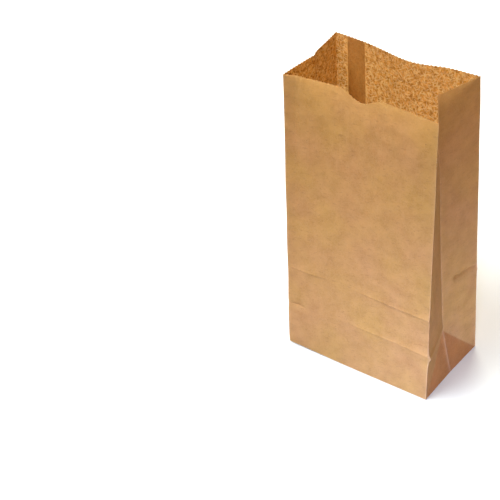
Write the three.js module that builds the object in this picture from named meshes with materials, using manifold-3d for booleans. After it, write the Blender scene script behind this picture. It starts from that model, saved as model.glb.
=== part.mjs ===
// A brown paper lunch bag, standing open. It is one sheet of kraft paper: a tube with two
// side gussets, pasted along a seam in the back panel, whose lower end is folded in and
// pasted shut as a flat rectangular bottom. The mouth is cut with a toothed knife.
// Millimetres, +Z up, the front panel towards -Y, standing on its pasted bottom.

import * as THREE from 'three';
import { mergeVertices } from 'three/addons/utils/BufferGeometryUtils.js';
import Module from 'manifold-3d';

// The sheet and the block it is folded to
const WIDTH = 127;
const DEPTH = 77;
const HEIGHT = 246;
const PAPER = 0.12;

// The pasted bottom and the pasted back seam
const FLAP_LAP = 20;
const SEAM_WIDTH = 16.5;
const SEAM_FROM_CORNER = 11;
const SEAM_EDGE = 0.3;

// The cut mouth
const TOOTH_PITCH = 3.2;
const TOOTH_DEPTH = 0.8;
const NOTCH_WIDTH = 35;
const NOTCH_DEPTH = 6.8;
const NOTCH_AT = 0.47;
const NOTCH_NARROW = 1.5;
const COLLAR = 4;

// How far each mouth corner has moved from the upright block, towards +X and +Y
const FRONT_LEFT_DRIFT = [0.8, 0.7];
const FRONT_RIGHT_DRIFT = [0.6, 0.7];
const BACK_RIGHT_DRIFT = [-7, -5];
const BACK_LEFT_DRIFT = [-3, -2.2];

// How far each gusset's centre crease is folded in, at the apex of its bottom triangle and
// at the mouth, and how far it has moved there towards +Y
const RIGHT_APEX_FOLD = 9.6;
const RIGHT_MOUTH_FOLD = 18.8;
const RIGHT_MOUTH_DRIFT = -5.4;
const LEFT_APEX_FOLD = 3;
const LEFT_MOUTH_FOLD = 2;
const LEFT_MOUTH_DRIFT = -1.5;

// How far each wide panel is bowed in at the mouth, where along the panel it is deepest, and
// how narrow the bow is. The front also dips beside its left corner, and the back is bowed
// in twice: a little over its whole width, and more in its middle
const FRONT_BOW = { depth: 6.3, at: 0.38, narrow: 1.3 };
const FRONT_DIP = { depth: 1.2, at: 0.07, reach: 0.05 };
const BACK_BOW = { depth: 2.2, at: 0.45, narrow: 1 };
const BACK_DENT = { depth: 6.6, at: 0.45, narrow: 6 };
const BOW_RISE = 1.3;

// The front right corner stands out in a kink where the fold of the closed bottom crossed it
const KINK_HEIGHT = 41.5;
const KINK_OUT = 2.2;
const FOLD_REACH = 5;

// The six panels round the tube, from the front left corner
const [FRONT, RIGHT_FRONT, RIGHT_BACK, BACK, LEFT_BACK, LEFT_FRONT] = [0, 1, 2, 3, 4, 5];

// Level folds left by the closed bottom: the height of each, how proud it stands (below nought
// it is pressed in), and the shares of its panel between which it runs
const FRONT_RIDGE = { height: 44, proud: 1, from: 0.42, to: 1 };
const FRONT_VALLEY = { height: KINK_HEIGHT, proud: -2, from: 0, to: 0.13 };
const FRONT_PRESS = { height: 74, proud: 0.8, from: 0.45, to: 1 };
const GUSSET_RIDGE = { height: KINK_HEIGHT, proud: 0.6, from: 0, to: 1 };
const GUSSET_WRINKLE = { height: 71, proud: 1.3, from: 0.4, to: 1 };
const ROW_BETWEEN_FOLDS = 60;

const FOLDS = [];
FOLDS[FRONT] = [FRONT_RIDGE, FRONT_VALLEY, FRONT_PRESS];
FOLDS[RIGHT_FRONT] = [GUSSET_RIDGE];
FOLDS[RIGHT_BACK] = [GUSSET_WRINKLE];
const FOLD_ROWS = [
  KINK_HEIGHT,
  FRONT_RIDGE.height,
  FRONT_RIDGE.height + FOLD_REACH,
  ROW_BETWEEN_FOLDS,
  GUSSET_WRINKLE.height - FOLD_REACH,
  GUSSET_WRINKLE.height,
  FRONT_PRESS.height,
  FRONT_PRESS.height + FOLD_REACH,
];

// Facets
const WIDE_STEPS = 22;
const GUSSET_STEPS = 4;
const UPPER_ROWS = 7;

const HALF_WIDTH = WIDTH / 2;
const HALF_DEPTH = DEPTH / 2;
const KRAFT = new THREE.MeshStandardMaterial({ color: 0xc19563, roughness: 0.85, metalness: 0 });

const lerp = THREE.MathUtils.lerp;
const mix = (a, b, share) => [lerp(a[0], b[0], share), lerp(a[1], b[1], share)];

// A corner fold at height z: a straight line from the block's corner to the mouth's corner
function cornerAt(sideX, sideY, drift, z) {
  const share = z / HEIGHT;
  return [sideX * HALF_WIDTH + drift[0] * share, sideY * HALF_DEPTH + drift[1] * share];
}

const frontLeft = (z) => cornerAt(-1, -1, FRONT_LEFT_DRIFT, z);
const backRight = (z) => cornerAt(1, 1, BACK_RIGHT_DRIFT, z);
const backLeft = (z) => cornerAt(-1, 1, BACK_LEFT_DRIFT, z);

// How much of a fold is left at a height: all of it on its line, none past its reach
const nearness = (z, height) => Math.max(0, 1 - Math.abs(z - height) / FOLD_REACH);

function frontRight(z) {
  const [x, y] = cornerAt(1, -1, FRONT_RIGHT_DRIFT, z);
  return [x + KINK_OUT * nearness(z, KINK_HEIGHT), y];
}

// A half sine across a panel, skewed so that its top is at the share given
function archAt(share, at, narrow) {
  const power = Math.log(0.5) / Math.log(at);
  return Math.max(0, Math.sin(Math.PI * share ** power)) ** narrow;
}

// How proud the level folds make a place, which is nothing at the ends of each fold
function foldsAt(panel, share, z) {
  let proud = 0;
  for (const fold of FOLDS[panel]) {
    const along = (share - fold.from) / (fold.to - fold.from);
    if (along <= 0 || along >= 1) continue;
    proud += fold.proud * nearness(z, fold.height) * Math.sin(Math.PI * along);
  }
  return proud;
}

function frontPanel(share, z) {
  const [x, y] = mix(frontLeft(z), frontRight(z), share);
  const bow = FRONT_BOW.depth * archAt(share, FRONT_BOW.at, FRONT_BOW.narrow);
  const dip = FRONT_DIP.depth * Math.exp(-(((share - FRONT_DIP.at) / FRONT_DIP.reach) ** 2));
  return [x, y + (bow + dip) * (z / HEIGHT) ** BOW_RISE - foldsAt(FRONT, share, z)];
}

function backPanel(share, z) {
  const [x, y] = mix(backRight(z), backLeft(z), share);
  const bow = BACK_BOW.depth * archAt(share, BACK_BOW.at, BACK_BOW.narrow);
  const dent = BACK_DENT.depth * archAt(share, BACK_DENT.at, BACK_DENT.narrow);
  return [x, y - (bow + dent) * (z / HEIGHT) ** BOW_RISE];
}

// The centre crease of a gusset: up the bottom triangle to its apex, then on to the mouth
function creaseLine(sideX, apexFold, mouthFold, mouthDrift, z) {
  const edge = sideX * HALF_WIDTH;
  const apex = [edge - sideX * apexFold, 0];
  if (z <= HALF_DEPTH) return mix([edge, 0], apex, z / HALF_DEPTH);
  const share = (z - HALF_DEPTH) / (HEIGHT - HALF_DEPTH);
  return mix(apex, [edge - sideX * mouthFold, mouthDrift], share);
}

const rightCrease = (z) => creaseLine(1, RIGHT_APEX_FOLD, RIGHT_MOUTH_FOLD, RIGHT_MOUTH_DRIFT, z);
const leftCrease = (z) => creaseLine(-1, LEFT_APEX_FOLD, LEFT_MOUTH_FOLD, LEFT_MOUTH_DRIFT, z);

// Half a gusset at height z, from its corner (share 0) to its centre crease (share 1). Below
// the apex it has one more fold, the 45 degree crease up from the bottom corner to the apex
function halfGusset(corner, crease, share, z) {
  const fold = Math.min(z / HALF_DEPTH, 1);
  const from = corner(z);
  const to = crease(z);
  if (fold === 1) return mix(from, to, share);
  const diagonal = mix(corner(0), crease(HALF_DEPTH), fold);
  if (share <= fold) return fold === 0 ? from : mix(from, diagonal, share / fold);
  return mix(diagonal, to, (share - fold) / (1 - fold));
}

// The right gusset's halves, from the front corner to the centre crease and on to the back corner
function rightFrontPanel(share, z) {
  const [x, y] = halfGusset(frontRight, rightCrease, share, z);
  return [x + foldsAt(RIGHT_FRONT, share, z), y];
}

function rightBackPanel(share, z) {
  const [x, y] = halfGusset(backRight, rightCrease, 1 - share, z);
  return [x + foldsAt(RIGHT_BACK, share, z), y];
}

const panels = [];
panels[FRONT] = { width: WIDTH, steps: WIDE_STEPS, at: frontPanel };
panels[RIGHT_FRONT] = { width: HALF_DEPTH, steps: GUSSET_STEPS, at: rightFrontPanel };
panels[RIGHT_BACK] = { width: HALF_DEPTH, steps: GUSSET_STEPS, at: rightBackPanel };
panels[BACK] = { width: WIDTH, steps: WIDE_STEPS, at: backPanel };
panels[LEFT_BACK] = {
  width: HALF_DEPTH, steps: GUSSET_STEPS, at: (share, z) => halfGusset(backLeft, leftCrease, share, z),
};
panels[LEFT_FRONT] = {
  width: HALF_DEPTH, steps: GUSSET_STEPS, at: (share, z) => halfGusset(frontLeft, leftCrease, 1 - share, z),
};

// How many layers thick the tube is: two in the pasted seam, one everywhere else
function layersAt(panel, share) {
  if (panel !== BACK) return 1;
  const fromCorner = (1 - share) * WIDTH;
  const inside = fromCorner > SEAM_FROM_CORNER && fromCorner < SEAM_FROM_CORNER + SEAM_WIDTH;
  return inside ? 2 : 1;
}

// The side of the paper's edge at a place on the tube: a unit vector across the panel
function across(panel, from, to, z) {
  const a = panels[panel].at(from, z);
  const b = panels[panel].at(to, z);
  const length = Math.hypot(b[0] - a[0], b[1] - a[1]);
  return [(b[1] - a[1]) / length, (a[0] - b[0]) / length];
}

// The outward direction at a place, lengthened at a fold so that both sides keep their paper
function outward(panel, share, z) {
  const reach = 0.01;
  const previous = (panel + panels.length - 1) % panels.length;
  const before = share === 0 ? across(previous, 1 - reach, 1, z) : across(panel, share - reach, share, z);
  const after = across(panel, share, Math.min(share + reach, 1), z);
  const stretch = 1 + before[0] * after[0] + before[1] * after[1];
  return [(before[0] + after[0]) / stretch, (before[1] + after[1]) / stretch];
}

// One point of the paper's outer face, or of its inner face
function paperPoint(place, z, inner) {
  const [x, y] = panels[place.panel].at(place.share, z);
  if (!inner) return new THREE.Vector3(x, y, z);
  const [nx, ny] = outward(place.panel, place.share, z);
  const thick = PAPER * layersAt(place.panel, place.share);
  return new THREE.Vector3(x - nx * thick, y - ny * thick, z);
}

// Places at even steps across a panel, with the four lines of the seam's edges on the back
function panelPlaces(panel, steps) {
  const shares = Array.from({ length: steps }, (unused, step) => step / steps);
  if (panel === BACK) {
    const start = SEAM_FROM_CORNER;
    const end = SEAM_FROM_CORNER + SEAM_WIDTH;
    for (const edge of [start, start + SEAM_EDGE, end - SEAM_EDGE, end]) shares.push(1 - edge / WIDTH);
  }
  shares.sort((a, b) => a - b);
  return shares.map((share) => ({ panel, share }));
}

const around = panels.flatMap((panel, index) => panelPlaces(index, panel.steps));

// The thumb notch cut out of the front panel's edge: an arch, deepest near its middle
function notchAt(place) {
  const along = ((place.share - 0.5) * WIDTH) / NOTCH_WIDTH + 0.5;
  if (place.panel !== FRONT || along <= 0 || along >= 1) return 0;
  return NOTCH_DEPTH * archAt(along, NOTCH_AT, NOTCH_NARROW);
}

// The mouth's edge: each tooth is a tip and the root after it, the pitch rounded to fit a panel
function mouthPlaces() {
  return panels.flatMap((panel, index) => {
    const steps = 2 * Math.round(panel.width / TOOTH_PITCH);
    return panelPlaces(index, steps).map((place) => {
      const step = place.share * steps;
      const root = 1 - 2 * Math.abs((step / 2) % 1 - 0.5);
      return { ...place, z: HEIGHT - root * TOOTH_DEPTH - notchAt(place) };
    });
  });
}

// Rows of the loft: the bottom triangles' rows, those of the level folds, then even steps
function rowHeights() {
  const rows = Array.from({ length: GUSSET_STEPS + 1 }, (unused, row) => (row / GUSSET_STEPS) * HALF_DEPTH);
  rows.push(...FOLD_ROWS);
  const start = rows[rows.length - 1];
  const top = HEIGHT - NOTCH_DEPTH - TOOTH_DEPTH - COLLAR;
  for (let row = 1; row <= UPPER_ROWS; row += 1) rows.push(lerp(start, top, row / UPPER_ROWS));
  return rows;
}

// Triangles between two closed rings with different numbers of points, both listed with how
// far round the tube each point lies: the ring whose next point comes first moves on
function bridge(lower, upper, faces) {
  let low = 0;
  let high = 0;
  while (low < lower.length || high < upper.length) {
    const a = lower[low % lower.length];
    const b = upper[high % upper.length];
    const nextLow = low + 1 < lower.length ? lower[low + 1].round : panels.length;
    const nextHigh = high + 1 < upper.length ? upper[high + 1].round : panels.length;
    const moveLow = high >= upper.length || (low < lower.length && nextLow <= nextHigh);
    const c = moveLow ? lower[(low + 1) % lower.length] : upper[(high + 1) % upper.length];
    faces.push([a.id, c.id, b.id]);
    if (moveLow) low += 1;
    else high += 1;
  }
}

// Triangles between two rows of the same places. Each square is split along its fold: the
// crease of a bottom triangle climbs towards the gusset's centre from both corners
function quads(lower, upper, faces) {
  lower.forEach((a, index) => {
    const next = (index + 1) % lower.length;
    const falls = a.place.panel === RIGHT_BACK || a.place.panel === LEFT_FRONT;
    const [b, c, d] = [lower[next], upper[next], upper[index]];
    if (falls) faces.push([a.id, b.id, d.id], [b.id, c.id, d.id]);
    else faces.push([a.id, b.id, c.id], [a.id, c.id, d.id]);
  });
}

// One face of the tube, from the bottom folds to the toothed mouth, as rings of points
function skin(points, faces, inner) {
  const ring = (places, heightOf) => places.map((place) => {
    points.push(paperPoint(place, heightOf(place), inner));
    return { id: points.length - 1, round: place.panel + place.share, place };
  });
  const rings = rowHeights().map((z) => ring(around, () => z));
  for (let row = 1; row < rings.length; row += 1) quads(rings[row - 1], rings[row], faces);
  const mouth = ring(mouthPlaces(), (place) => place.z);
  bridge(rings[rings.length - 1], mouth, faces);
  return { foot: rings[0], mouth };
}

// The paper tube: an outer and an inner face, joined by the cut edge at each end
function tubeGeometry() {
  const points = [];
  const outerFaces = [];
  const innerFaces = [];
  const outer = skin(points, outerFaces, false);
  const inner = skin(points, innerFaces, true);
  const edges = [];
  quads(outer.mouth, inner.mouth, edges);
  quads(inner.foot, outer.foot, edges);
  const turned = innerFaces.map(([a, b, c]) => [a, c, b]);
  const geometry = new THREE.BufferGeometry().setFromPoints(points);
  geometry.setIndex([...outerFaces, ...turned, ...edges].flat());
  return geometry;
}

// A flap of the pasted bottom: a flat outline between two heights
function plateGeometry(outline, bottom, top) {
  const shape = new THREE.Shape(outline.map(([x, y]) => new THREE.Vector2(x, y)));
  const plate = new THREE.ExtrudeGeometry(shape, { depth: top - bottom, bevelEnabled: false });
  return plate.translate(0, 0, bottom);
}

// The pasted bottom, from the table up: the back flap, the front flap that it laps, the corners
// tucked under them at 45 degrees, and the two end flaps of the gussets inside
function bottomPlates() {
  const x = HALF_WIDTH - PAPER / 2;
  const y = HALF_DEPTH - PAPER / 2;
  const flap = HALF_DEPTH + FLAP_LAP / 2;
  const plates = [
    plateGeometry([[x - flap, y - flap], [x, y], [-x, y], [flap - x, y - flap]], 0, PAPER),
    plateGeometry([[flap - x, flap - y], [-x, -y], [x, -y], [x - flap, flap - y]], PAPER, 2 * PAPER),
  ];
  for (const side of [-1, 1]) {
    const tip = side * (x - flap);
    const edge = side * x;
    plates.push(plateGeometry([[edge, y], [tip, y], [tip, y - flap]], PAPER, 2 * PAPER));
    plates.push(plateGeometry([[tip, -y], [edge, -y], [edge, y], [tip, y]], 2 * PAPER, 4 * PAPER));
  }
  return plates;
}

const wasm = await Module();
wasm.setup();

function solidFrom(geometry) {
  const bare = geometry.clone();
  bare.deleteAttribute('normal');
  bare.deleteAttribute('uv');
  const merged = mergeVertices(bare, 1e-5);
  const vertProperties = new Float32Array(merged.attributes.position.array);
  const triVerts = new Uint32Array(merged.index.array);
  return new wasm.Manifold(new wasm.Mesh({ numProp: 3, vertProperties, triVerts }));
}

function geometryFrom(solid) {
  const mesh = solid.getMesh();
  const geometry = new THREE.BufferGeometry();
  geometry.setAttribute('position', new THREE.BufferAttribute(mesh.vertProperties, 3));
  geometry.setIndex(new THREE.BufferAttribute(mesh.triVerts, 1));
  geometry.computeVertexNormals();
  return geometry;
}

const folded = bottomPlates().reduce((bag, plate) => bag.add(solidFrom(plate)), solidFrom(tubeGeometry()));
const bag = new THREE.Mesh(geometryFrom(folded), KRAFT);
bag.name = 'paper_bag';

// The mouth leans a little, so the bag is moved to stand with its box centred on the origin
bag.geometry.computeBoundingBox();
const middle = bag.geometry.boundingBox.getCenter(new THREE.Vector3());
bag.geometry.translate(-middle.x, -middle.y, 0);

const group = new THREE.Group();
group.add(bag);
export default group;
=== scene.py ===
import math

import bpy
import numpy as np
from mathutils import Matrix, Vector


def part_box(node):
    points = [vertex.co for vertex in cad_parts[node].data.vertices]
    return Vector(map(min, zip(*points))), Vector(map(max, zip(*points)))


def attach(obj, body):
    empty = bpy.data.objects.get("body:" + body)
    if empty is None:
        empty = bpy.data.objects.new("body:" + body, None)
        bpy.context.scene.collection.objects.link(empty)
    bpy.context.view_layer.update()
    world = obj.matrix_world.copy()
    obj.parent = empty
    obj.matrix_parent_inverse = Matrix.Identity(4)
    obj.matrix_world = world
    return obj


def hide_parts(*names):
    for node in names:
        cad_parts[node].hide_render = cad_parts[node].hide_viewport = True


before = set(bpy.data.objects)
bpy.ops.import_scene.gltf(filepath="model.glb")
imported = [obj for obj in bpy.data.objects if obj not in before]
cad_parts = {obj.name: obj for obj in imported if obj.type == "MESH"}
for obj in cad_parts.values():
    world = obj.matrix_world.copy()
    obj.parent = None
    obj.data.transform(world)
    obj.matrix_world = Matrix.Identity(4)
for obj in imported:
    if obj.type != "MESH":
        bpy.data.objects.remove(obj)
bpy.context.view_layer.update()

# The folded sheet
# The whole bag is one sheet of unbleached kraft paper. It is folded into a tube with two side
# gussets, its long edges lap and are pasted in the back panel, its lower end is folded in and
# pasted as the bottom, and its upper end is the toothed cut of the mouth.

mm = 0.001
width = 127 * mm
depth = 77 * mm
low_corner, high_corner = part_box("paper_bag")
height = high_corner.z - low_corner.z
paper = 0.12 * mm
paste_gap = 0.03 * mm
flap_lap = 20 * mm
seam_width = 16.5 * mm
seam_from_corner = 11 * mm
tooth_pitch = 3.2 * mm
tooth_depth = 0.8 * mm
notch_width = 35 * mm
notch_depth = 6.8 * mm
collar_drop = 14 * mm
foot_lift = 1.3 * mm

half_width = width / 2
half_depth = depth / 2
flap = half_depth + flap_lap / 2
kink_height = half_depth + 3 * mm
wrinkle_height = depth + 4 * mm

# The mouth's corners as they have drifted from the upright block, in X and Y
front_left_drift = (0.8 * mm, 0.7 * mm)
front_right_drift = (0.6 * mm, 0.7 * mm)
back_right_drift = (-7 * mm, -5 * mm)
back_left_drift = (-3 * mm, -2.2 * mm)

# The frame centres the bag's box: the back left mouth corner and the back foot are its sides
centre_x = low_corner.x + half_width - back_left_drift[0]
centre_y = high_corner.y - half_depth

front, right_front, right_back, back, left_back, left_front = range(6)
panel_widths = np.array([width, half_depth, half_depth, width, half_depth, half_depth])
panel_starts = np.concatenate([[0], np.cumsum(panel_widths)])
perimeter = panel_starts[-1]
half_teeth = 2 * np.round(panel_widths / tooth_pitch)


def corner_fold(side_x, side_y, drift, z):
    """A corner fold is a straight line: the block's corner, moved by its drift times z over the height."""
    share = z / height
    return side_x * half_width + drift[0] * share, side_y * half_depth + drift[1] * share


def centre_crease(side_x, apex_fold, mouth_fold, mouth_drift, foot_fold, z):
    """A gusset's centre crease is two straight lines, from the foot to the apex of the bottom
    triangle at half the depth, and from there to the mouth."""
    low = np.clip(z / half_depth, 0, 1)
    high = np.clip((z - half_depth) / (height - half_depth), 0, 1)
    fold = foot_fold + (apex_fold - foot_fold) * low + (mouth_fold - apex_fold) * high
    return side_x * (half_width - fold), mouth_drift * high


def arch(share, deepest, narrow):
    """A half sine across a panel, skewed so that its top is at deepest, raised to narrow."""
    power = math.log(0.5) / math.log(deepest)
    return np.clip(np.sin(np.pi * np.clip(share, 0, 1) ** power), 0, 1) ** narrow


def hump(value, middle, reach):
    """A bell, one at its middle and one over e at reach to either side."""
    return np.exp(-(((value - middle) / reach) ** 2))


def rising(value, start, end):
    """A smooth step, nought before start and one after end."""
    part = np.clip((value - start) / (end - start), 0, 1)
    return part * part * (3 - 2 * part)


def front_left(z):
    return corner_fold(-1, -1, front_left_drift, z)


def front_right(z):
    """This corner also stands out in a small kink, where the fold of the closed bottom crossed it."""
    x, y = corner_fold(1, -1, front_right_drift, z)
    kink = np.exp(-np.abs(z - kink_height) / (3.2 * mm))
    return x + 2.2 * mm * kink, y - 0.3 * mm * kink


def back_right(z):
    return corner_fold(1, 1, back_right_drift, z)


def back_left(z):
    return corner_fold(-1, 1, back_left_drift, z)


def right_crease(z):
    return centre_crease(1, 9.6 * mm, 18.8 * mm, -5.4 * mm, 0.7 * mm, z)


def left_crease(z):
    return centre_crease(-1, 3 * mm, 2 * mm, -1.5 * mm, 0.2 * mm, z)


def between(a, b, share):
    return a[0] + (b[0] - a[0]) * share, a[1] + (b[1] - a[1]) * share


def wide_panel(panel, share, z):
    """The front or back panel in plan: the line between its corner folds, bowed in by an arch
    that grows with the height."""
    grown = np.clip(z / height, 0, 1) ** 1.3
    if panel == front:
        x, y = between(front_left(z), front_right(z), share)
        return x, y + (6.3 * mm * arch(share, 0.38, 1.3) + 1.2 * mm * hump(share, 0.07, 0.05)) * grown
    x, y = between(back_right(z), back_left(z), share)
    return x, y - (2.2 * mm * arch(share, 0.45, 1) + 6.6 * mm * arch(share, 0.45, 6)) * grown


def half_gusset(corner, crease, share, z):
    """Half a gusset in plan, from its corner to its centre crease. Below the apex it is two lines
    that meet on the 45 degree crease, which climbs from the foot of the corner to the apex."""
    fold = np.clip(z / half_depth, 0, 1)
    start, end = corner(z), crease(z)
    foot = np.zeros_like(z)
    diagonal = between(corner(foot), crease(foot + half_depth), fold)
    outer = between(start, diagonal, np.where(fold > 0, share / np.maximum(fold, 1e-9), 0))
    inner = between(diagonal, end, (share - fold) / np.maximum(1 - fold, 1e-9))
    straight = between(start, end, share)
    whole = fold >= 1
    on_outer = share <= fold
    x = np.where(whole, straight[0], np.where(on_outer, outer[0], inner[0]))
    y = np.where(whole, straight[1], np.where(on_outer, outer[1], inner[1]))
    return x, y


gusset_sides = {
    right_front: (front_right, right_crease, False),
    right_back: (back_right, right_crease, True),
    left_back: (back_left, left_crease, False),
    left_front: (front_left, left_crease, True),
}


def tube_plan(ring, z):
    """Where the tube's paper stands in plan, for each column's distance round it and its height."""
    x, y = np.zeros_like(z), np.zeros_like(z)
    for panel in range(6):
        here = (ring >= panel_starts[panel]) & (ring <= panel_starts[panel + 1])
        share = ((ring[here] - panel_starts[panel]) / panel_widths[panel])[None, :]
        if panel in (front, back):
            x[:, here], y[:, here] = wide_panel(panel, share, z[:, here])
            continue
        corner, crease, from_crease = gusset_sides[panel]
        from_corner = 1 - share if from_crease else share
        x[:, here], y[:, here] = half_gusset(corner, crease, from_corner, z[:, here])
    return x, y


def sheet_columns():
    """The columns of the sheet's grid: each tooth's tip and root, close pairs beside each fold,
    and both long edges. They run once round the tube and on over the seam."""
    lines = [np.linspace(a, b, int(n) + 1) for a, b, n in zip(panel_starts, panel_starts[1:], half_teeth)]
    beside = np.array([-0.9, -0.35, 0.35, 0.9]) * mm
    lines += [start + beside for start in panel_starts]
    ring = np.concatenate(lines) % perimeter
    first = panel_starts[left_back] - seam_from_corner - seam_width
    last = perimeter + panel_starts[left_back] - seam_from_corner
    along = np.concatenate([ring, ring + perimeter, [first, last]])
    along = np.unique(np.round(along[(along >= first) & (along <= last)], 8))
    keep = np.concatenate([[True], np.diff(along) > 0.06 * mm])
    return along[keep]


def sheet_rows():
    """The rows of the sheet's grid, by height, with the flaps below nought. Up to each 45 degree
    crease they are spaced as the columns are, so that the crease runs through grid corners."""
    close = np.array([0.35, 0.9]) * mm
    steps = width / half_teeth[front]
    below = np.concatenate([close, np.arange(1, int(flap / steps)) * steps])
    climb = np.arange(1, half_teeth[right_front] + 1) / half_teeth[right_front]
    triangle = np.concatenate([close, climb * half_depth])
    beside = np.array([-1.5, -0.8, -0.35, 0, 0.35, 0.8, 1.5]) * mm
    folds = [middle + beside for middle in (half_depth + 2 * mm, half_depth + 5.5 * mm, depth)]
    middle = np.linspace(half_depth, depth, 18)[1:-1]
    wrinkle = np.linspace(depth + 2 * mm, depth + 9 * mm, 13)
    upper = np.linspace(depth + 11 * mm, height - collar_drop, 52)
    collar = height - np.array([12, 10, 8, 6, 4, 2.5, 1.2, 0]) * mm
    rows = np.concatenate([[-flap], -below, [0], triangle, *folds, middle, wrinkle, upper, collar])
    rows = np.unique(np.round(rows, 8))
    keep = np.concatenate([[True], np.diff(rows) > 0.25 * mm])
    return rows[keep]


along = sheet_columns()
rows = sheet_rows()
ring = along % perimeter
panel_of = np.clip(np.searchsorted(panel_starts, ring, side="right") - 1, 0, 5)
share_of = (ring - panel_starts[panel_of]) / panel_widths[panel_of]
tooth = np.abs((share_of * half_teeth[panel_of] / 2 + 0.5) % 1 - 0.5) * 2
across_notch = ((share_of - 0.5) * width + notch_width / 2) / notch_width
notch = np.where(panel_of == front, notch_depth * arch(across_notch, 0.47, 1.5), 0)

# Heights: the rows below the mouth close up towards the toothed and notched edge
collar_start = height - collar_drop
rise = np.clip((rows - collar_start) / (height - collar_start), 0, 1)[:, None]
drop = (tooth * tooth_depth + notch)[None, :]
z_above = np.maximum(rows, 0)[:, None] - rise * drop

# Below the foot: how far each place is down its flap, shortened at the toothed end
down = np.maximum(-rows, 0)[:, None] - np.where(rows <= -flap, 1, 0)[:, None] * tooth * tooth_depth

x, y = tube_plan(ring, z_above)

# The layers of the pasted bottom, from the table up: back flap, front flap, the corners tucked
# under each, and the gussets' end flaps. A tucked corner lies with its outer face up
layer = paper + paste_gap
side_x = np.where(share_of < 0.5, -1, 1) * np.where(panel_of == back, -1, 1)
side_y = np.where(panel_of == back, 1, -1)
from_corner = np.minimum(share_of, 1 - share_of) * width
is_wide = (panel_of == front) | (panel_of == back)
is_flap = (down > 0)
tucked = is_flap & is_wide[None, :] & (from_corner[None, :] < down - 1e-9)
flat = is_flap & is_wide[None, :] & ~tucked
end = is_flap & ~is_wide[None, :]
gusset_side = np.where((panel_of == right_front) | (panel_of == right_back), 1, -1)
y = np.where(flat, side_y * (half_depth - down), y)
x = np.where(tucked, side_x * (half_width - down), x)
y = np.where(tucked, side_y * (half_depth - from_corner), y)
x = np.where(end, x - gusset_side * down, x)
wall_level = np.where(panel_of == back, 0, np.where(panel_of == front, 1, 4)) * layer
near_foot = np.exp(-z_above / (3 * mm))
z = z_above + wall_level * near_foot
z = np.where(tucked, np.where(side_y > 0, 2, 3) * layer + paper, z)

# The foot of the front's left half stands a little off the table
towards_front_left = rising(-x, 0, half_width) * rising(-y, -half_depth, half_depth)
z += foot_lift * towards_front_left * np.exp(-z_above / (25 * mm))
x = x + centre_x
y = y + centre_y


def face_directions(x, y, z):
    """The sheet's outward direction at each grid corner: across the columns times up the rows."""
    place = np.stack([x, y, z], -1)
    across = np.gradient(place, axis=1)
    up = np.gradient(place, axis=0)
    out = np.cross(across, up)
    return out / np.maximum(np.linalg.norm(out, axis=-1, keepdims=True), 1e-12)


# What the folding left on the sheet, measured outwards. Two level folds cross the bag, where its
# closed bottom was folded over at half the depth and where the bottom's edge pressed at the full
# depth
on = {name: (panel_of == panel)[None, :] for name, panel in
      {"front": front, "near_right": right_front, "far_right": right_back, "back": back}.items()}
share = share_of[None, :]
fold_height = half_depth + (2 + 3.5 * rising(share, 0.2, 0.4)) * mm
fold_edge = np.exp(-np.abs(z_above - fold_height) / (2.6 * mm))
above_press = z_above - depth
press_edge = np.exp(-np.where(above_press > 0, above_press / (2.5 * mm), -above_press / (1.2 * mm)))
proud = np.zeros_like(z_above)
proud += on["front"] * fold_edge * (0.1 + rising(share, 0.4, 0.52)) * mm
proud -= on["front"] * fold_edge * 2 * hump(share, 0.06, 0.05) * mm
right_press = rising(share, 0.45, 0.6)
left_press = 0.7 * rising(-share, -0.3, -0.2) * rising(share, 0, 0.05)
proud += on["front"] * press_edge * (0.03 + right_press + left_press) * mm
proud += on["front"] * 0.8 * mm * hump(share, 0.92, 0.06) * hump(z_above, half_depth + 5.5 * mm, 7 * mm)
proud += on["near_right"] * 0.6 * mm * np.exp(-np.abs(z_above - kink_height) / (2.6 * mm))
proud += on["back"] * 0.4 * mm * press_edge

# A wrinkle is pressed in across the gusset's back half
wrinkle = np.exp(-np.abs(z_above - wrinkle_height) / (2.4 * mm))
wrinkle_across = rising(share, 0.28, 0.45) * (1 - 0.5 * rising(share, 0.85, 1))
proud -= on["far_right"] * 2.3 * mm * wrinkle * wrinkle_across

# The front also shows the edge of the back's seam pressed through while the bag lay flat, and
# a soft dent that runs down from the notch
imprint = np.exp(-np.abs(share - 0.154) * width / (1.5 * mm)) * rising(z_above, 40 * mm, 60 * mm)
proud += on["front"] * 0.2 * mm * imprint
proud -= on["front"] * 0.5 * mm * hump(share, 0.6, 0.035) * rising(z_above, 170 * mm, 215 * mm)

# The gusset's centre crease stands out as a ridge between the two halves of the bottom triangle
to_right_crease = np.abs(ring - panel_starts[right_back])
to_left_crease = np.abs(ring - panel_starts[left_front])
crease_edge = np.minimum(to_right_crease, to_left_crease)[None, :]
proud += 0.5 * mm * np.exp(-crease_edge / (2 * mm)) * rising(-z_above, -half_depth, -half_depth + 8 * mm)

# The left gusset's centre crease is pinched in near the mouth, more sharply on its back side
past_crease = (ring - panel_starts[left_front])[None, :]
pinch = np.exp(-np.where(past_crease > 0, past_crease / (12 * mm), -past_crease / (2.5 * mm)))
on_left = ((panel_of == left_back) | (panel_of == left_front))[None, :]
proud -= on_left * 1.6 * mm * pinch * rising(z_above, height / 2, height)

# Cockle: ten long waves that run whole numbers of times round the bag
chance = np.random.default_rng(7)
around = 2 * np.pi * (ring / perimeter)[None, :]
counts_round = chance.integers(3, 13, 10)
counts_up = chance.uniform(-5, 5, 10)
phases = chance.uniform(0, 6.28, 10)
for count_round, count_up, phase in zip(counts_round, counts_up, phases):
    proud += 0.06 * mm * np.cos(count_round * around + 2 * np.pi * count_up * z_above / height + phase)
proud = proud * rising(z_above, 0, 8 * mm)

place = np.stack([x, y, z], -1)
place = place + face_directions(x, y, z) * proud[..., None]
out = face_directions(*np.moveaxis(place, -1, 0))
out[is_flap & ~tucked] = (0, 0, -1)
out[tucked] = (0, 0, 1)

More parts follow.
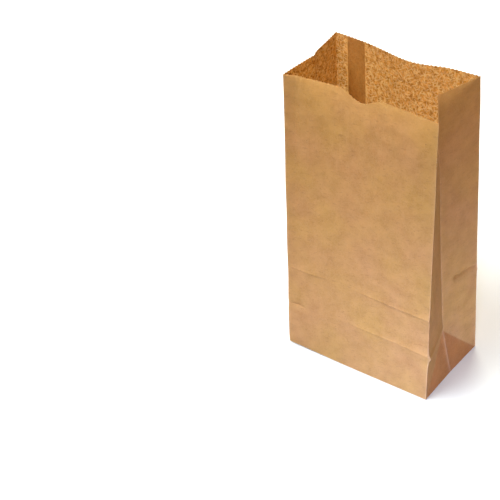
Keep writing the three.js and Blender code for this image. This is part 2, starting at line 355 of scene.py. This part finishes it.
# The sheet's first edge lies inside the seam, one layer in, and steps back out past it
inside_seam = 1 - np.clip((along - along[0] - seam_width) / (1.5 * mm), 0, 1)
place = place - out * (inside_seam * layer)[None, :, None]
inner = place - out * paper

# Two triangles to each square, split along the folds that cross the grid slantwise
count_rows, count_columns = place.shape[:2]
index = np.arange(count_rows * count_columns).reshape(count_rows, count_columns)
a, b = index[:-1, :-1], index[:-1, 1:]
d, c = index[1:, :-1], index[1:, 1:]
cell_panel = panel_of[:-1]
cell_share = (share_of[:-1] + np.where(np.diff(ring) > 0, share_of[1:], 1)) / 2
is_below = (rows[:-1] < 0)[:, None]
wide_falls = (cell_share < 0.5) & ((cell_panel == front) | (cell_panel == back))
gusset_falls = (cell_panel == right_back) | (cell_panel == left_front)
falls = np.where(is_below, wide_falls[None, :], gusset_falls[None, :])
first_half = np.where(falls[..., None], np.stack([a, b, d], -1), np.stack([a, b, c], -1))
second_half = np.where(falls[..., None], np.stack([b, c, d], -1), np.stack([a, c, d], -1))
outer_faces = np.concatenate([first_half.reshape(-1, 3), second_half.reshape(-1, 3)])
inner_faces = outer_faces[:, ::-1] + index.size
edge = np.concatenate([index[0, :-1], index[:-1, -1], index[-1, :0:-1], index[:0:-1, 0]])
after = np.roll(edge, -1)
rim_faces = np.concatenate([
    np.stack([after, edge, edge + index.size], -1),
    np.stack([after, edge + index.size, after + index.size], -1),
])
faces = np.concatenate([outer_faces, inner_faces, rim_faces])
vertices = np.concatenate([place.reshape(-1, 3), inner.reshape(-1, 3)])

bag_mesh = bpy.data.meshes.new("paper_bag_sheet")
bag_mesh.vertices.add(len(vertices))
bag_mesh.vertices.foreach_set("co", vertices.astype(np.float32).ravel())
bag_mesh.loops.add(faces.size)
bag_mesh.loops.foreach_set("vertex_index", faces.astype(np.int32).ravel())
bag_mesh.polygons.add(len(faces))
bag_mesh.polygons.foreach_set("loop_start", np.arange(0, faces.size, 3, dtype=np.int32))
bag_mesh.polygons.foreach_set("use_smooth", np.ones(len(faces), bool))
is_inner = np.zeros(len(faces), np.int32)
is_inner[len(outer_faces):len(outer_faces) + len(inner_faces)] = 1
bag_mesh.polygons.foreach_set("material_index", is_inner)
bag_mesh.update(calc_edges=True)
sheet_map = np.stack(np.broadcast_arrays(along[None, :] - along[0], rows[:, None]), -1).reshape(-1, 2)
sheet_map = np.concatenate([sheet_map, sheet_map]) / (100 * mm)
uv = bag_mesh.uv_layers.new(name="sheet")
uv.uv.foreach_set("vector", sheet_map[faces.ravel()].astype(np.float32).ravel())

# How near each place is to a fold, where the paper's top fibres have worn pale: an upright fold,
# or the 45 degree crease of a bottom triangle, which lies where the place is as high as it is far
# from its corner
to_fold = np.min(np.abs(ring[:, None] - panel_starts[None, :]), axis=1)[None, :]
ends_at_corner = (panel_of == right_back) | (panel_of == left_front)
share_from_corner = np.where(ends_at_corner, 1 - share_of, share_of)[None, :]
to_crease = np.abs(share_from_corner * half_depth - z_above) / math.sqrt(2)
on_triangle = ~is_wide[None, :] & (z_above < half_depth)
wear = np.exp(-to_fold / (0.7 * mm)) * (1 + 0.9 * on_triangle)
on_back_triangle = on_triangle & on["far_right"]
wear = np.maximum(wear, on_back_triangle * 0.3 * np.exp(-to_crease / (0.6 * mm))) * (z_above > 0)

# The upright bottom triangles, painted darker and redder: painted shade, for the floor's sheen and light
# that these faces, tilted up, miss
triangle_shade = on_triangle * (z_above > 0) * rising(half_depth * share_from_corner - z_above, 0, 0.5 * mm)

# Where the sheet lies double in the seam, whose two layers even out the clouds in each other
lap_start, lap_end = along[0] + seam_width, along[-1] - seam_width
lap = np.broadcast_to(((along <= lap_start) | (along >= lap_end))[None, :], z_above.shape)

# The left gusset's paper passes light darker and warmer: painted shade, for the light from behind that
# reaches it less
left_gusset_shade = np.broadcast_to(on_left, z_above.shape)

# Each of these is kept on the mesh for the materials, once for the outer skin and once for the inner
for attribute, values in {"fold_wear": wear, "seam_lap": lap, "triangle_shade": triangle_shade, "left_gusset_shade": left_gusset_shade}.items():
    value_map = bag_mesh.attributes.new(attribute, "FLOAT", "POINT")
    both_skins = np.concatenate([values.ravel(), values.ravel()])
    value_map.data.foreach_set("value", both_skins.astype(np.float32))
bag_mesh.set_sharp_from_angle(angle=math.radians(60))
bag_mesh.validate()

bag = bpy.data.objects.new("paper_bag_sheet", bag_mesh)
bpy.context.collection.objects.link(bag)


def linear(red, green, blue):
    """A colour as Blender's linear light, from 0 to 255 screen values."""
    screen = np.array([red, green, blue]) / 255
    light = np.where(screen <= 0.04045, screen / 12.92, ((screen + 0.055) / 1.055) ** 2.4)
    return (*light.tolist(), 1)


def node(tree, kind, inputs=None, **settings):
    """Adds a shader node; an input is linked where it is another node's socket and set where it isn't."""
    made = tree.nodes.new(kind)
    for name, value in settings.items():
        setattr(made, name, value)
    for name, value in (inputs or {}).items():
        if isinstance(value, bpy.types.NodeSocket):
            tree.links.new(value, made.inputs[name])
        else:
            made.inputs[name].default_value = value
    return made


def grain(tree, sheet, scale, detail, turn=0, low=0.3, high=0.7):
    """Noise over the sheet, turned and then stretched by its two scales, spread from nought to one."""
    sizes = (1 / scale[0], 1 / scale[1], 1)
    flat = node(tree, "ShaderNodeMapping", {"Vector": sheet, "Rotation": (0, 0, turn), "Scale": sizes},
                vector_type="TEXTURE")
    settings = {"Vector": flat.outputs["Vector"], "Scale": 1, "Detail": detail}
    noise = node(tree, "ShaderNodeTexNoise", settings)
    spread = {"Value": noise.outputs["Fac"], "From Min": low, "From Max": high}
    return node(tree, "ShaderNodeMapRange", spread).outputs["Result"]


def math_node(tree, operation, first, second):
    return node(tree, "ShaderNodeMath", {0: first, 1: second}, operation=operation).outputs[0]


def tint(tree, amount, from_colour, to_colour, blend="MIX"):
    """A mix of two colours by an amount."""
    parts = {"Factor": amount, "A": from_colour, "B": to_colour}
    mixed = node(tree, "ShaderNodeMix", parts, data_type="RGBA", blend_type=blend)
    return mixed.outputs["Result"]


def fibre_grain(tree, sheet, scale, low, high):
    """Fibres: the strongest of four noises, each drawn out long along its own direction."""
    strongest = None
    for turn in (0.25, 1.05, 1.75, 2.6):
        line = grain(tree, sheet, scale, 1, turn, low, high)
        strongest = line if strongest is None else math_node(tree, "MAXIMUM", strongest, line)
    return strongest


def paper_material(name, light_tone, dark_tone, pass_share, is_clouded):
    """Unbleached kraft: its fibres lie unevenly, which clouds the surface a little and, in the
    skin that is_clouded, the light that passes through a lot. pass_share is how much passes."""
    material = bpy.data.materials.new(name)
    material.use_nodes = True
    tree = material.node_tree
    sheet = node(tree, "ShaderNodeUVMap", uv_map="sheet").outputs["UV"]
    formation = grain(tree, sheet, (75, 60), 3, 0, 0.36, 0.64)
    cloud = grain(tree, sheet, (9, 11), 4, 0.5, 0.35, 0.65)
    streak = grain(tree, sheet, (30, 2.2), 2)
    drift = grain(tree, sheet, (2.6, 2.1), 3, 0.4, 0.35, 0.65)
    fibre = fibre_grain(tree, sheet, (22, 150), 0.5, 0.78)
    mark = grain(tree, sheet, (22, 55), 2, 0.15, 0.6, 0.7)
    speck = grain(tree, sheet, (110, 75), 1, 0.3, 0.69, 0.74)
    fold = node(tree, "ShaderNodeAttribute", attribute_name="fold_wear").outputs["Fac"]
    lap = node(tree, "ShaderNodeAttribute", attribute_name="seam_lap").outputs["Fac"]
    triangle_shade = node(tree, "ShaderNodeAttribute", attribute_name="triangle_shade").outputs["Fac"]
    left_gusset_shade = node(tree, "ShaderNodeAttribute", attribute_name="left_gusset_shade").outputs["Fac"]

    pale_fibre = linear(206, 176, 134)
    dark_mark = linear(132, 94, 58)
    dark_speck = linear(106, 72, 44)
    worn_fold = linear(222, 194, 156)
    # Painted shade for the upright bottom triangles
    triangle_shade_colour = (0.86, 0.63, 0.47, 1)
    body = math_node(tree, "MULTIPLY", formation, 0.2)
    body = math_node(tree, "ADD", body, math_node(tree, "MULTIPLY", cloud, 0.45))
    body = math_node(tree, "ADD", body, math_node(tree, "MULTIPLY", streak, 0.1))
    tone = tint(tree, body, dark_tone, light_tone)
    tone = tint(tree, 1, tone, tint(tree, drift, (1, 1, 0.8, 1), (1, 0.94, 1, 1)), "MULTIPLY")
    # Painted shade: the bottom triangles are made darker and redder
    tone = tint(tree, triangle_shade, tone, triangle_shade_colour, "MULTIPLY")
    tone = tint(tree, math_node(tree, "MULTIPLY", fibre, 0.3), tone, pale_fibre)
    tone = tint(tree, math_node(tree, "MULTIPLY", mark, 0.35), tone, dark_mark)
    tone = tint(tree, math_node(tree, "MULTIPLY", speck, 0.5), tone, dark_speck)
    tone = tint(tree, math_node(tree, "MULTIPLY", fold, 0.25), tone, worn_fold)

    through = (0.95, 0.58, 0.29, 1)
    if is_clouded:
        floc = grain(tree, sheet, (27, 24), 3, 0.7, 0.38, 0.62)
        strand = fibre_grain(tree, sheet, (19, 80), 0.55, 0.7)
        density = math_node(tree, "MULTIPLY", floc, 0.5)
        density = math_node(tree, "ADD", density, math_node(tree, "MULTIPLY", formation, 0.5))
        through = tint(tree, density, (0.28, 0.15, 0.031, 1), (0.85, 0.67, 0.32, 1))
        through = tint(tree, math_node(tree, "MULTIPLY", strand, 0.85), through, (0.95, 1, 0.84, 1))
        through = tint(tree, math_node(tree, "MULTIPLY", lap, 0.75), through, (0.92, 0.88, 0.57, 1))
        # Painted shade: the light that passes through the left gusset is made darker and warmer
        through = tint(tree, left_gusset_shade, through, (0.98, 0.8, 0.5, 1), "MULTIPLY")
        tone = tint(tree, 1, tone, tint(tree, density, (0.7, 0.62, 0.5, 1), (1, 1, 1, 1)), "MULTIPLY")

    surface = tree.nodes["Principled BSDF"]
    height_map = math_node(tree, "ADD", formation, math_node(tree, "MULTIPLY", fibre, 0.5))
    bump = node(tree, "ShaderNodeBump", {"Height": height_map, "Distance": 0.02 * mm, "Strength": 0.35})
    tree.links.new(tone, surface.inputs["Base Color"])
    tree.links.new(bump.outputs["Normal"], surface.inputs["Normal"])
    surface.inputs["Roughness"].default_value = 0.72
    surface.inputs["Specular IOR Level"].default_value = 0.25
    behind = node(tree, "ShaderNodeBsdfTranslucent", {"Color": through})
    both = node(tree, "ShaderNodeMixShader", {0: pass_share, 1: surface.outputs[0], 2: behind.outputs[0]})
    tree.links.new(both.outputs[0], tree.nodes["Material Output"].inputs["Surface"])
    return material


outside = paper_material("kraft_outside", linear(201, 161, 100), linear(167, 130, 72), 0.3, False)
inside = paper_material("kraft_inside", linear(232, 184, 120), linear(208, 154, 88), 0.75, True)
bag_mesh.materials.append(outside)
bag_mesh.materials.append(inside)
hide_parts("paper_bag")
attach(bag, "root")

# The floor
# A plain pale floor that the bag stands on. The camera sees it white where it is fully lit, and
# it keeps the bag's soft shadow.
floor_reach = 4
floor_corners = [(-1, -1), (1, -1), (1, 1), (-1, 1)]
floor_mesh = bpy.data.meshes.new("floor")
floor_mesh.from_pydata([(a * floor_reach, b * floor_reach, 0) for a, b in floor_corners], [], [(0, 1, 2, 3)])
floor = bpy.data.objects.new("floor", floor_mesh)
bpy.context.collection.objects.link(floor)
floor_material = bpy.data.materials.new("white_floor")
floor_material.use_nodes = True
nodes = floor_material.node_tree.nodes
links = floor_material.node_tree.links
floor_shader = nodes["Principled BSDF"]
floor_shader.inputs["Base Color"].default_value = (0.63, 0.69, 0.66, 1)
floor_shader.inputs["Roughness"].default_value = 0.9
floor_shader.inputs["Specular IOR Level"].default_value = 0
lift = nodes.new("ShaderNodeLightPath")
strength = nodes.new("ShaderNodeMath")
strength.operation = "MULTIPLY"
strength.inputs[1].default_value = 0.21
links.new(lift.outputs["Is Camera Ray"], strength.inputs[0])
floor_shader.inputs["Emission Color"].default_value = (1, 1, 1, 1)
links.new(strength.outputs[0], floor_shader.inputs["Emission Strength"])
floor_mesh.materials.append(floor_material)

# The lights
# A large soft light stands high at the left of the front. A second stands behind at the left and
# shines through the paper, and a small cool one stands low at the right of the front. A warm
# surround fills the rest, which the camera sees as white.
world = bpy.data.worlds.new("surround")
bpy.context.scene.world = world
world.use_nodes = True
background = world.node_tree.nodes["Background"]
world_tint = world.node_tree.nodes.new("ShaderNodeMix")
world_tint.data_type = "RGBA"
world_tint.inputs["A"].default_value = (1, 0.61, 0.4, 1)
world_tint.inputs["B"].default_value = (1, 1, 1, 1)
world_path = world.node_tree.nodes.new("ShaderNodeLightPath")
world_mix = world.node_tree.nodes.new("ShaderNodeMapRange")
world_mix.inputs["To Min"].default_value = 0.4
world_mix.inputs["To Max"].default_value = 1
world.node_tree.links.new(world_path.outputs["Is Camera Ray"], world_mix.inputs["Value"])
world.node_tree.links.new(world_path.outputs["Is Camera Ray"], world_tint.inputs["Factor"])
world.node_tree.links.new(world_tint.outputs["Result"], background.inputs["Color"])
world.node_tree.links.new(world_mix.outputs["Result"], background.inputs["Strength"])

lights = {
    "high_left": ((-0.4, -0.75, 1.6), 38, (0.96, 0.99, 1.07), "AREA"),
    "behind_left": ((-0.72, 1.22, 0.4), 42, (1, 0.97, 0.85), "AREA"),
    "low_right": ((0.53, -0.93, 0.12), 64, (0.84, 0.99, 1.8), "SPOT"),
}
for name, (stand, watts, colour, kind) in lights.items():
    light_data = bpy.data.lights.new(name, kind)
    light_data.energy = watts
    light_data.color = colour
    aimed_at = Vector((0, 0, 0.1))
    if kind == "AREA":
        light_data.shape = "DISK"
        light_data.size = 1
    else:
        light_data.spot_size = math.radians(20)
        light_data.spot_blend = 1
        light_data.shadow_soft_size = 0.12
        aimed_at = Vector((0.08, -0.03, 0))
    light = bpy.data.objects.new(name, light_data)
    bpy.context.collection.objects.link(light)
    light.location = stand
    light.rotation_mode = "QUATERNION"
    light.rotation_quaternion = (aimed_at - light.location).to_track_quat("-Z", "Y")

# The camera
# It stands to the right of the bag's front and looks down on it, with the bag right of centre.
azimuth = math.radians(37.83)
elevation = math.radians(35.82)
roll = math.radians(-2.89)
distance = 1.191
focal_pixels = 1430
image_pixels = 500
aim = Vector((-0.1295 + centre_x, centre_y, 0.0425))
level_share = math.cos(elevation)
backward = Vector((math.sin(azimuth) * level_share, -math.cos(azimuth) * level_share, math.sin(elevation)))
level = Vector((math.cos(azimuth), math.sin(azimuth), 0))
upward = backward.cross(level)
across = math.cos(roll) * level + math.sin(roll) * upward
upright = -math.sin(roll) * level + math.cos(roll) * upward
camera_data = bpy.data.cameras.new("camera")
camera_data.sensor_width = 36
camera_data.lens = focal_pixels / image_pixels * camera_data.sensor_width
camera_data.clip_end = 20
camera = bpy.data.objects.new("camera", camera_data)
bpy.context.collection.objects.link(camera)
turn = Matrix((across, upright, backward)).transposed().to_4x4()
camera.matrix_world = Matrix.Translation(aim + backward * distance) @ turn
bpy.context.scene.camera = camera
bpy.context.scene.view_settings.view_transform = "Standard"
